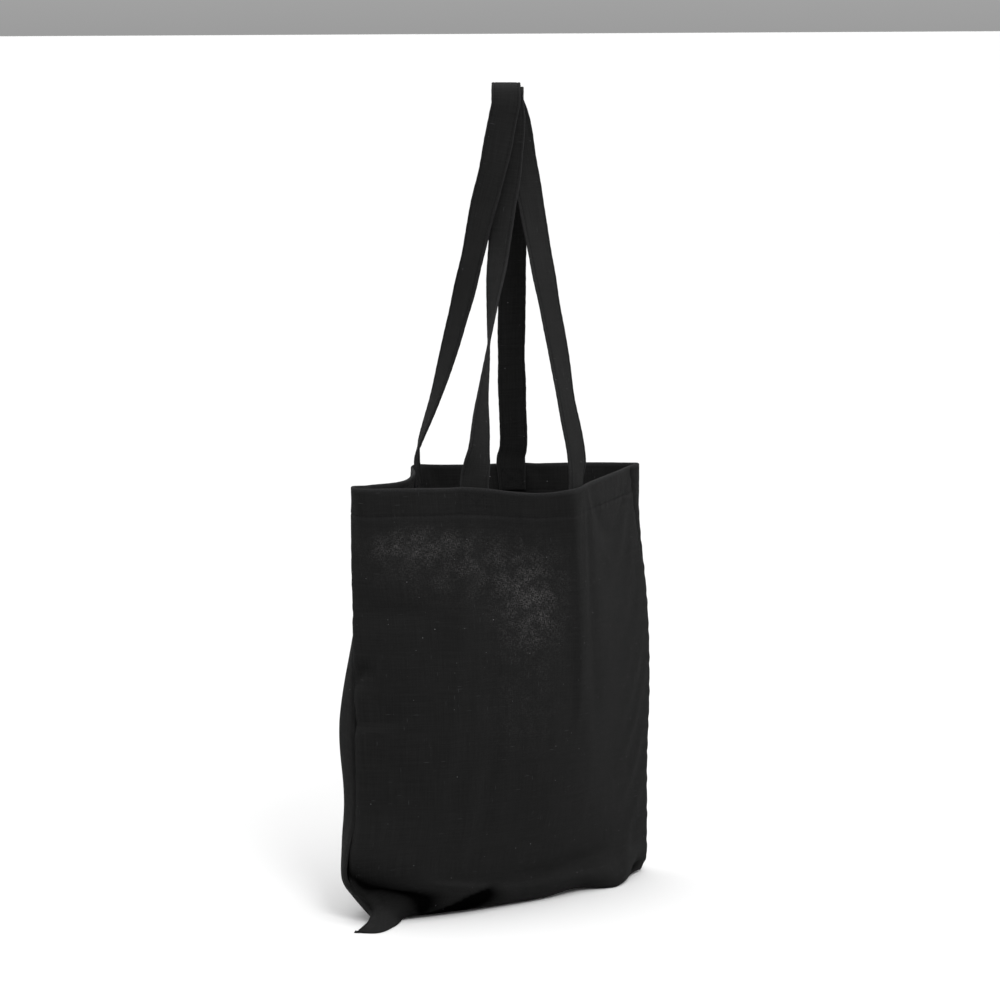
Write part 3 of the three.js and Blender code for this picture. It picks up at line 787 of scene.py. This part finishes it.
def fold(u, v, start, end, height, sharp, broad):
    """A crease along a line of the cloth, fading at both ends. For a line that runs along u, its
    sharp side lies below it and its broad side above."""
    line = np.array(end, float) - np.array(start, float)
    length = np.linalg.norm(line)
    t = ((u - start[0]) * line[0] + (v - start[1]) * line[1]) / length
    d = ((u - start[0]) * line[1] - (v - start[1]) * line[0]) / length
    width = np.where(d < 0, sharp, broad)
    profile = np.exp(1 - np.sqrt((d / width) ** 2 + 1))
    fade = min(length / 3, 30.0)
    return height * profile * smooth(t, -fade / 2, fade) * smooth(length - t, -fade / 2, fade)


def dent(u, v, place, size, height):
    """A soft round dent or swelling."""
    return height * np.exp(-((u - place[0]) / size[0]) ** 2 - ((v - place[1]) / size[1]) ** 2)


def folds(side, u, v):
    """The larger creases and dents pressed into a panel."""
    creases, dents = (FRONT_FOLDS, FRONT_DENTS) if side == "front" else (BACK_FOLDS, BACK_DENTS)
    relief = sum(fold(u, v, *each) for each in creases)
    return relief + sum(dent(u, v, *each) for each in dents)


def dusty(side, u, v):
    """How thickly lint lies on the cloth, 0 to 1."""
    if side == "back":
        return dent(u, v, *BACK_DUST)
    return np.clip(sum(dent(u, v, *each) for each in FRONT_DUST), 0, 1)


def painted_shade(side, u, v):
    """How dark the painted shade is in the deepest folds, along the left seam and in the round pit, 0 to 1.
    """
    if side == "back":
        return np.zeros_like(u)
    deep = sum(fold(u, v, *each) for each in FRONT_SHADE) + dent(u, v, *FRONT_PIT)
    return np.clip(deep, 0, 1)


def hem_relief(u, v, seed):
    """The hem's own relief: a row of stitches drawn in, puckers round it, fuller below."""
    stitch = np.exp(-((v - HEM_STITCH) / 0.9) ** 2)
    pucker = 0.32 * ripple(u, 13.0, seed) * np.exp(-((v - HEM_STITCH - 1) / 5.0) ** 2)
    return -0.42 * stitch + pucker


def add_panel(side, panel, seed, material):
    profile, outer_count = hem_profile()
    us = np.concatenate([[0, 0.8, 1.6], np.arange(2.5, CUT_WIDTH - 2, 1.9),
                         [CUT_WIDTH - 1.6, CUT_WIDTH - 0.8, CUT_WIDTH]])
    u, v = np.meshgrid(us, profile[:, 0])
    offset = np.repeat(profile[:, 1:], len(us), 1)
    relief = seam_groove(u, v) * smooth(v, -2, 6)
    hem = hem_relief(u, v, seed)
    facing = np.where(np.arange(len(profile)) < outer_count, 1.0, -0.6)[:, None]
    relief = relief + hem * facing + folds(side, u, v) * smooth(v, -1, 5)
    centre = panel.at(u, v, offset + relief)
    paper = np.concatenate([[0], np.cumsum(np.linalg.norm(np.diff(profile, axis=0), axis=1))])
    cloth = np.stack([u, np.repeat(CUT_HEIGHT - paper[:, None], len(us), 1), np.full_like(u, seed)], -1)
    # A painted highlight along the rim's fold, where light from above falls; it is kept with the worn
    # spots.
    rim = np.exp(-(profile[:, 0] / 1.6) ** 2)[:, None] * np.ones_like(u)
    edge = np.minimum(u, CUT_WIDTH - u)
    seam = 0.12 * np.exp(-((edge - 3.5) / 1.5) ** 2)
    wear_and_painted_light = np.clip(0.8 * rim + seam + 0.25 * np.exp(-((v - HEM_STITCH - 2.5) / 1.5) ** 2), 0, 1)
    # Painted shade in the deepest folds takes the place of the worn values, below zero.
    shade = painted_shade(side, u, v)
    wear_and_painted_light = np.where(shade > LEAST_SHADE, -shade, wear_and_painted_light)  # below zero the cloth is darker, not faded
    outside = np.where(np.arange(len(profile)) < outer_count, 1.0, 0.0)[:, None]
    dust = outside * dusty(side, u, v)
    return add_cloth(f"{side}_panel_cloth", centre, CLOTH, cloth / METRE, wear_and_painted_light, material,
                     flip=(side == "back"), dust=dust)


def surface_line(panel, us, vs, offset):
    """A line on a panel and the outward directions along it."""
    line = panel.at(us, vs, offset)
    lifted = panel.at(us, vs, offset + 1.0)
    return line, unit(lifted - line)


def add_hem_stitching(side, panel, seed, material):
    us = np.arange(2.0, CUT_WIDTH - 2.0, 0.6)
    vs = np.full_like(us, HEM_STITCH)
    relief = hem_relief(us, vs, seed)
    outside = surface_line(panel, us, vs, relief + 0.02)
    inner_face = -(3 * CLOTH + 2 * PLY_GAP)
    line, normals = surface_line(panel, us, vs, inner_face - 0.6 * relief - 0.02)
    return add_stitching(f"{side}_hem_stitches", [outside, (line, -normals)], material)


def strap_places(side):
    return {place: CUT_WIDTH / 2 + sign * STRAP_OFFSET for place, sign in (("left", -1), ("right", 1))}


def crossed_box(u):
    """The sewn box with a cross in it, as straight runs on the panel: (u0, v0, u1, v1)."""
    left, right = u - 9.5, u + 9.5
    top, bottom = 4.0, 21.0
    return [(left, top, right, top), (right, top, right, bottom), (right, bottom, left, bottom),
            (left, bottom, left, top), (left, top, right, bottom), (right, top, left, bottom)]


def add_crossed_box(side, place, panel, u_middle, strap_face, material):
    rows = []
    for u0, v0, u1, v1 in crossed_box(u_middle):
        t = np.linspace(0, 1, 40)
        us, vs = u0 + (u1 - u0) * t, v0 + (v1 - v0) * t
        rows.append(surface_line(panel, us, vs, 0.02))
        line, normals = surface_line(panel, us, vs, strap_face - 0.02)
        rows.append((line, -normals))
    return add_stitching(f"{side}_{place}_crossed_box", rows, material)


# ---- the handles ----

across_angle = math.radians(ACROSS_HEADING)
ACROSS = np.array([math.cos(across_angle), math.sin(across_angle), 0.0])
DEEP = np.array([-ACROSS[1], ACROSS[0], 0.0])
UP = np.array([0.0, 0.0, 1.0])
SEWN_DEPTH = 3 * CLOTH + 3 * PLY_GAP + STRAP_THICKNESS / 2  # a sewn strap's middle, in from the face


def hanging(points):
    a, d, drop, turn = np.array(points, float).T
    place = LOOP_TOP + a[:, None] * ACROSS + d[:, None] * DEEP - drop[:, None] * UP
    return np.column_stack([place, turn])


def bend_points(radius, shift, turn):
    drop = STRAP_THICKNESS / 2 + BACK_BEND[0]
    return [(shift, -radius * math.cos(a), drop - radius * math.sin(a), turn)
            for a in np.radians([0, 45, 90, 135, 180])]


def strap_root(panel, u, near):
    """The strap's way out of the hem: sewn stops, then one above the rim."""
    low, high = panel.at(u - 5, 0.0, -SEWN_DEPTH), panel.at(u + 5, 0.0, -SEWN_DEPTH)
    run = high - low
    heading = math.degrees(math.atan2(run[1], run[0])) - ACROSS_HEADING
    turn = heading + 180 * round((near - heading) / 180)
    stops = [panel.at(u, v, -SEWN_DEPTH) for v in (STRAP_END, 16.0, 8.0, 0.0)]
    stops.append(stops[-1] + UP * STRAP_LIFT)
    return np.array([[*stop, turn] for stop in stops])


def strap_route(panel, left_leg, right_leg, bend):
    places = [CUT_WIDTH / 2 - STRAP_OFFSET, CUT_WIDTH / 2 + STRAP_OFFSET]
    route = np.concatenate([
        strap_root(panel, places[0], left_leg[-1][3]),
        hanging(left_leg[::-1]),
        hanging(bend_points(*bend)),
        hanging(right_leg),
        strap_root(panel, places[1], right_leg[-1][3])[::-1],
    ])
    return route, places


class Strap:
    """A ribbon along a route of places and turns, sampled evenly along its length."""

    def __init__(self, panel, left_leg, right_leg, bend):
        route, self.ends = strap_route(panel, left_leg, right_leg, bend)
        self.panel = panel
        fine = np.linspace(0, len(route) - 1, 40 * len(route))
        line = catmull_rom(route[:, :3], fine)
        turn = catmull_rom(np.column_stack([route[:, 3], np.zeros(len(route))]), fine)[:, 0]
        self.length = along(line)[-1]
        self.s = np.linspace(0, self.length, int(self.length / 2.0) + 1)
        self.place = at_lengths(line, self.s)
        turn = np.radians(np.interp(self.s, along(line), turn))
        tangent = unit(np.gradient(self.place, axis=0))
        width = np.cos(turn)[:, None] * ACROSS + np.sin(turn)[:, None] * DEEP
        self.width = unit(width - (width * tangent).sum(1, keepdims=True) * tangent)
        self.face = np.cross(self.width, tangent)

    def at(self, w, h):
        """Places at w across and h over the strap's middle. w and h go along the stations."""
        result = self.place + self.width * w[:, None] + self.face * h[:, None]
        for end, s in ((0, self.s), (1, self.length - self.s)):
            hold = 1 - smooth(s, STRAP_END, 2 * STRAP_END)
            near = hold > 0
            across = w[near] * self.side(end)
            out = -SEWN_DEPTH + h[near] * self.outward(end)
            down = np.maximum(STRAP_END - s[near], 0)
            middle = self.panel.at(np.full_like(down, self.ends[end]), down, -SEWN_DEPTH)
            sewn = self.place[near] + self.panel.at(self.ends[end] + across, down, out) - middle
            result[near] += (sewn - result[near]) * hold[near][:, None]
        return result

    def side(self, end):
        """+1 where the strap's width runs with the panel's u, -1 where it runs against it."""
        i = 2 if end == 0 else -3
        u = self.ends[end]
        run = self.panel.at(u + 3, 8.0, -SEWN_DEPTH) - self.panel.at(u - 3, 8.0, -SEWN_DEPTH)
        return 1.0 if self.width[i] @ run > 0 else -1.0

    def outward(self, end):
        i = 2 if end == 0 else -3
        u = self.ends[end]
        out = self.panel.at(u, 8.0, 0.0) - self.panel.at(u, 8.0, -SEWN_DEPTH)
        return 1.0 if self.face[i] @ out > 0 else -1.0


EDGE_ROW = STRAP_WIDTH / 2 - 2.6  # the strap's two rows of stitches, out from its middle


def strap_section():
    """The strap's outline, (w, h): rounded edges, one of them two folded edges face to face."""
    half, thick = STRAP_WIDTH / 2, STRAP_THICKNESS / 2
    top = [(w, thick) for w in (-12.0, -11.2, -10.9, -EDGE_ROW, -9.9, -9.2, -7.0, -4.0, -1.0,
                                2.0, 5.0, 8.0, 9.2, 9.9, EDGE_ROW, 10.9, 11.2, 12.0)]
    right = [(half - 0.25, thick * 0.8), (half, thick * 0.5), (half - 0.3, 0.06),
             (half - 0.3, -0.06), (half, -thick * 0.5), (half - 0.25, -thick * 0.8)]
    left = [(-half + 0.25, -thick * 0.8), (-half, -thick * 0.35), (-half, thick * 0.35),
            (-half + 0.25, thick * 0.8)]
    return top + right + [(w, -h) for w, h in reversed(top)] + left


def strap_height(s, w, h, seed):
    """The face's height with its stitched grooves, quilting between them and soft unevenness."""
    groove = 0.38 * (np.exp(-((w - EDGE_ROW) / 0.5) ** 2) + np.exp(-((w + EDGE_ROW) / 0.5) ** 2))
    quilt = 0.16 * ripple(s, 9.0, seed + np.sign(w)) * np.exp(-((abs(w) - EDGE_ROW) / 2.5) ** 2)
    return h - np.sign(h) * groove + quilt


def add_strap(side, strap, seed, material):
    outline = strap_section()
    columns = []
    for w, h in outline:
        wander = 0.35 * ripple(strap.s, 71.0, seed) + 0.12 * ripple(strap.s, 12.0, seed + w)
        wide = w + wander * np.sign(w) * smooth(abs(w), 6, 13)
        columns.append(strap.at(wide, strap_height(strap.s, w, h, seed) * np.ones_like(strap.s)))
    grid = np.stack(columns, 1)
    rows, count = grid.shape[:2]
    faces = quads(rows, count, 0, True)
    faces.append(tuple(reversed(range(count))))
    faces.append(tuple(range((rows - 1) * count, rows * count)))
    w = np.array([p[0] for p in outline])
    h = np.array([p[1] for p in outline])
    cloth = np.stack([np.broadcast_to(w + np.where(h > 0, 0, 60), (rows, count)),
                      np.broadcast_to(strap.s[:, None], (rows, count)),
                      np.full((rows, count), seed)], -1) / METRE
    wear_and_painted_light = np.broadcast_to(smooth(abs(w), 11.6, 13.0) * 0.9, (rows, count))
    return add_mesh(f"{side}_handle_strap", grid.reshape(-1, 3), faces,
                    {"cloth": cloth.reshape(-1, 3), "wear_and_painted_light": wear_and_painted_light.ravel()}, material)


def add_strap_stitching(side, strap, seed, material):
    rows = []
    free = (strap.s > STRAP_END + 4) & (strap.s < strap.length - STRAP_END - 4)
    for w in (-EDGE_ROW, EDGE_ROW):
        for sign in (-1, 1):
            h = strap_height(strap.s, w, sign * STRAP_THICKNESS / 2, seed) * np.ones_like(strap.s)
            line = strap.at(np.full_like(strap.s, w), h + 0.02 * sign)
            rows.append((line[free], (strap.face * sign)[free]))
    return add_stitching(f"{side}_handle_stitches", rows, material)


# ---- the seams inside ----

def add_allowance(name, panel, u_range, v_range, material, seed):
    us = np.linspace(*u_range, max(int(abs(u_range[1] - u_range[0]) / 1.5), 6))
    vs = np.linspace(*v_range, max(int(abs(v_range[1] - v_range[0]) / 1.5), 6))
    u, v = np.meshgrid(us, vs)
    edge = np.minimum(np.minimum(u, CUT_WIDTH - u), CUT_HEIGHT - v)
    curl = 0.5 * smooth(edge, 3, 9) * (1 + ripple(u + v, 31.0, seed))
    depth = CLOTH + PLY_GAP + CLOTH + 1.2 * np.exp(-(edge / 2.5) ** 2) + curl
    centre = panel.at(u, v, -depth)
    cloth = np.stack([u, v, np.full_like(u, seed)], -1) / METRE
    wear_and_painted_light = smooth(edge, 7.5, 9.0)
    return add_cloth(name, centre, 2 * CLOTH, cloth, wear_and_painted_light, material, flip=True)


def tube(line, radius, sides=6):
    """A round thread along a line."""
    tangent = unit(np.gradient(line, axis=0))
    side = unit(np.cross(tangent, [0.31, 0.52, 0.79]))
    up = np.cross(side, tangent)
    angles = np.arange(sides) * 2 * np.pi / sides
    ring = np.cos(angles)[:, None] * side[:, None] + np.sin(angles)[:, None] * up[:, None]
    vertices = (line[:, None] + radius * ring).reshape(-1, 3)
    faces = [tuple(reversed(f)) for f in quads(len(line), sides, 0, True)]
    faces.append(tuple(range(sides)))
    faces.append(tuple(reversed(range((len(line) - 1) * sides, len(line) * sides))))
    return vertices, faces


def add_overlock(name, panel, edge_at, run, material):
    """Thread wound over an allowance's raw edge. edge_at(t, inset) gives (u, v)."""
    steps = 8
    t = np.arange(run[0], run[1], OVERLOCK_PITCH / steps)
    phase = 2 * np.pi * t / OVERLOCK_PITCH
    inset = 2.6 + 2.9 * np.cos(phase)
    u, v = edge_at(t, inset)
    depth = 1.5 * CLOTH + PLY_GAP + 0.6
    around = (CLOTH + 0.35) * np.sin(phase)
    line = panel.at(u, v, -depth - 0.5 + around)
    vertices, faces = tube(line, OVERLOCK_RADIUS)
    return add_mesh(name, vertices, faces, {"cloth": vertices / METRE}, material)


# ---- the whole bag ----

def build():
    canvas = canvas_material("black_canvas", CANVAS_TONE, 0.012)
    webbing = canvas_material("black_strap_canvas", STRAP_TONE, 0.010)
    thread = thread_material()

    front = shape_grid(FRONT_ROWS)
    back = shape_grid([[FRONT_ROWS[i][0], *row, FRONT_ROWS[i][-1]] for i, row in enumerate(BACK_ROWS)])
    front, back = settled([front, back])
    normals = {"front": grid_normals(front, 1), "back": grid_normals(back, -1)}
    for part in ((slice(None), 0), (slice(None), -1), (-1, slice(None))):
        mean = unit(normals["front"][part] + normals["back"][part])
        normals["front"][part] = mean
        normals["back"][part] = mean
    panels = {"front": Panel(front, normals["front"]), "back": Panel(back, normals["back"])}
    legs = {"front": (FRONT_LEFT_LEG, FRONT_RIGHT_LEG, FRONT_BEND),
            "back": (BACK_LEFT_LEG, BACK_RIGHT_LEG, BACK_BEND)}

    for seed, side in enumerate(("front", "back"), 1):
        panel = panels[side]
        cloth = add_panel(side, panel, seed, canvas)
        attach(cloth, "bag")
        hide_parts(f"{side}_panel", f"{side}_hem")
        hem = add_hem_stitching(side, panel, seed, thread)
        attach(hem, "bag")
        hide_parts(f"{side}_hem_stitching")

        strap = Strap(panel, *legs[side])
        ribbon = add_strap(side, strap, seed, webbing)
        sewing = add_strap_stitching(side, strap, seed, thread)
        rim_height = (panel.at(strap.ends[0], 0.0)[2] + panel.at(strap.ends[1], 0.0)[2]) / 2 / METRE
        for piece in (ribbon, sewing):
            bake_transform(piece)
        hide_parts(f"{side}_handle", f"{side}_left_strap_end", f"{side}_right_strap_end")
        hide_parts(f"{side}_handle_left_edge_stitching", f"{side}_handle_right_edge_stitching")
        for place, u in strap_places(side).items():
            strap_face = -SEWN_DEPTH - STRAP_THICKNESS / 2
            box = add_crossed_box(side, place, panel, u, strap_face, thread)
            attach(box, "bag")
            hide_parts(f"{side}_{place}_boxed_cross")

    back_panel = panels["back"]
    seams = {
        "left": ((0.6, ALLOWANCE), SIDE_SEAM_RUN, lambda t, inset: (ALLOWANCE + 0.4 - inset, t)),
        "right": ((CUT_WIDTH - 0.6, CUT_WIDTH - ALLOWANCE), SIDE_SEAM_RUN,
                  lambda t, inset: (CUT_WIDTH - ALLOWANCE - 0.4 + inset, t)),
        "bottom": (BASE_SEAM_RUN, (CUT_HEIGHT - 0.6, CUT_HEIGHT - ALLOWANCE),
                   lambda t, inset: (t, CUT_HEIGHT - ALLOWANCE - 0.4 + inset)),
    }
    for seed, (name, (u_range, v_range, edge_at)) in enumerate(seams.items(), 5):
        strip = add_allowance(f"{name}_seam_inside", back_panel, u_range, v_range, canvas, seed)
        run = BASE_SEAM_RUN if name == "bottom" else SIDE_SEAM_RUN
        wound = add_overlock(f"{name}_seam_thread", back_panel, edge_at, run, thread)
        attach(strip, "bag")
        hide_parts(f"{name}_seam_allowance")
        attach(wound, "bag")
        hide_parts(f"{name}_seam_overlock")


add_camera()
add_stage()
add_area_light("key", (-0.45, -1.5, 1.45), (-0.05, -0.05, 0.25), 0.7, 15)
add_area_light("side", (2.4, -3.2, 1.6), (0, 0, 0.3), 1.8, 2)
build()
